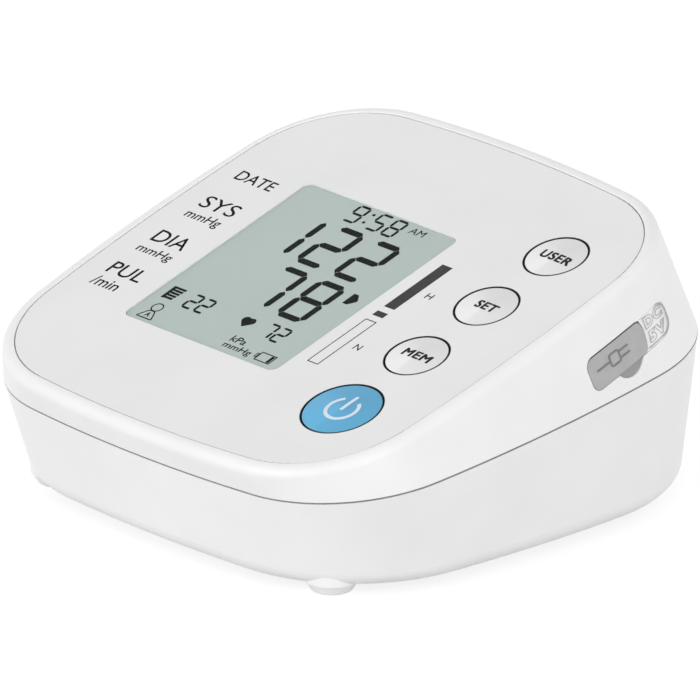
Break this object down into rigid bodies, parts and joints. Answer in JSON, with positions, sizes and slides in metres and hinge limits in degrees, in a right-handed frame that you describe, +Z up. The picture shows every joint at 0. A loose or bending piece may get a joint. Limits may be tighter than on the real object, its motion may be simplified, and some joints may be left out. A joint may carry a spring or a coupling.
{
  "type": "blood pressure monitor console",
  "caption": "Wedge-shaped desktop console of an upper-arm blood pressure monitor, with a tilted face, display, round keys, battery bay, covered port and cuff air socket.",
  "frame": {"origin": "on the table plane, under the middle of the console", "axes": "+Z up, +X to the right of the person who reads the display, -Y to the front, where the tilted face is lowest"},
  "size_m": [0.1354, 0.134, 0.0672],
  "materials": {
    "housing_white": "glossy",
    "panel_grey": "satin",
    "lens_clear": "clear",
    "display_glass": "satin",
    "film_white": "matte",
    "inner_white": "matte",
    "strip_pink": "matte",
    "board_green": "satin",
    "screw_steel": "bright",
    "chip_black": "matte",
    "pin_ivory": "matte",
    "plated_sheet": "bright",
    "key_silver": "pearly",
    "key_blue": "glossy",
    "flap_rubber": "matte",
    "cell_jacket": "glossy",
    "motor_case": "satin",
    "pump_black": "matte",
    "sleeve_rubber": "matte",
    "valve_steel": "satin",
    "socket_grey": "satin",
    "tube_silicone": "matte"
  },
  "bodies": {
    "console": {"upper_housing": "housing_white", "lower_housing": "housing_white", "foot_front_left": "housing_white", "foot_front_right": "housing_white", "foot_back_left": "housing_white", "foot_back_right": "housing_white", "face_panel": "panel_grey", "display_window": "lens_clear", "lcd_front_glass": "display_glass", "lcd_rear_glass": "display_glass", "lcd_reflector": "film_white", "lcd_frame": "inner_white", "air_junction": "inner_white", "elastomer_strip": "strip_pink", "main_board": "board_green", "board_screws": "screw_steel", "pump_screws": "screw_steel", "case_screws": "screw_steel", "processor_chip": "chip_black", "buzzer": "chip_black", "pressure_sensor": "chip_black", "switch_bodies": "chip_black", "usb_receptacle": "plated_sheet", "battery_bridges": "plated_sheet", "battery_terminals": "plated_sheet", "pump_clamp": "plated_sheet", "socket_clip": "plated_sheet", "port_cover_anchor": "flap_rubber", "battery_cell_1": "cell_jacket", "battery_cell_2": "cell_jacket", "battery_cell_3": "cell_jacket", "battery_cell_4": "cell_jacket", "pump_motor": "motor_case", "pump_head": "pump_black", "pump_sleeve": "sleeve_rubber", "exhaust_valve": "valve_steel", "air_socket": "socket_grey", "tube_socket": "tube_silicone", "tube_valve": "tube_silicone", "tube_pump": "tube_silicone", "tube_sensor": "tube_silicone"},
    "user_key": {"key_user": "key_silver", "plunger_user": "pin_ivory"},
    "set_key": {"key_set": "key_silver", "plunger_set": "pin_ivory"},
    "mem_key": {"key_mem": "key_silver", "plunger_mem": "pin_ivory"},
    "power_key": {"key_power": "key_blue", "plunger_power": "pin_ivory"},
    "port_flap": {"port_cover": "flap_rubber"},
    "bay_door": {"battery_door": "housing_white"}
  },
  "joints": [
    {"name": "user_press", "type": "slide", "parent": "console", "child": "user_key", "axis": [0, 0.294, -0.9558], "range_m": [0, 0.0008], "stiffness_N_per_m": 1500, "springref_m": -0.0003},
    {"name": "set_press", "type": "slide", "parent": "console", "child": "set_key", "axis": [0, 0.294, -0.9558], "range_m": [0, 0.0008], "stiffness_N_per_m": 1500, "springref_m": -0.0003},
    {"name": "mem_press", "type": "slide", "parent": "console", "child": "mem_key", "axis": [0, 0.294, -0.9558], "range_m": [0, 0.0008], "stiffness_N_per_m": 1500, "springref_m": -0.0003},
    {"name": "power_press", "type": "slide", "parent": "console", "child": "power_key", "axis": [0, 0.294, -0.9558], "range_m": [0, 0.0008], "stiffness_N_per_m": 1500, "springref_m": -0.0003},
    {"name": "flap_swing", "type": "hinge", "parent": "console", "child": "port_flap", "pos_m": [0.06607, 0.01181, 0.04046], "axis": [0.1839, 0.289, -0.9395], "range_deg": [0, 100]},
    {"name": "door_swing", "type": "hinge", "parent": "console", "child": "bay_door", "pos_m": [0, -0.045, 0.0024], "axis": [-1, 0, 0], "range_deg": [0, 65]}
  ]
}
